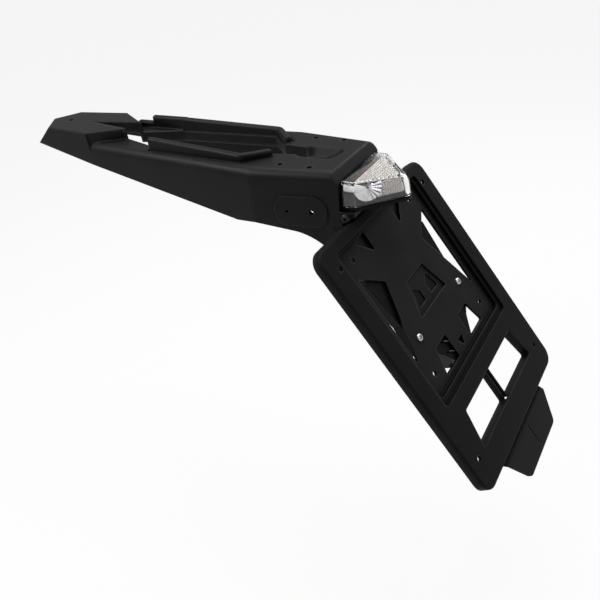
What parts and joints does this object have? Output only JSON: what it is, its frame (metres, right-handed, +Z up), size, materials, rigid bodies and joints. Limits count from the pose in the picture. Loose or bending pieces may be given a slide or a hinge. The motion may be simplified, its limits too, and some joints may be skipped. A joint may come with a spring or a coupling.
{
  "type": "motorbike tail tidy",
  "caption": "Moulded black motorbike tail tidy: forked mounting tongue, railed deck, wedge tail lamp and a slanted framed plate holder with a mud flap.",
  "frame": {"origin": "centre of the four deck holes, on the deck's top face", "axes": "+X to the rear of the bike, +Y to its right, +Z up"},
  "size_m": [0.6055, 0.207, 0.3073],
  "materials": {
    "body_plastic": "satin black moulded plastic with a fine grain",
    "holder_plastic": "satin black moulded plastic",
    "flap_plastic": "flexible black plastic",
    "lamp_plastic": "black moulded plastic",
    "clear_lens": "clear moulded plastic with a prism face",
    "clear_window": "clear moulded plastic",
    "reflector_chrome": "bright metallised plastic",
    "black_rubber": "black rubber",
    "zinc_steel": "bright zinc plate",
    "black_steel": "black oxide steel",
    "board_resin": "green circuit board",
    "led_red": "clear red capsule",
    "led_white": "pale yellow capsule"
  },
  "bodies": {
    "root": {"tail_body": "body_plastic", "plate_holder": "holder_plastic", "mud_flap": "flap_plastic", "plate_screws": "zinc_steel", "plate_washers": "zinc_steel", "plate_nuts": "zinc_steel", "flap_screws": "zinc_steel", "lamp_lens": "clear_lens", "lamp_gasket": "black_rubber", "lamp_base": "lamp_plastic", "plate_light_window": "clear_window", "circuit_board": "board_resin", "tail_leds": "led_red", "plate_leds": "led_white", "lamp_reflector": "reflector_chrome", "lamp_screws": "black_steel", "lead_grommet": "black_rubber"}
  },
  "joints": []
}
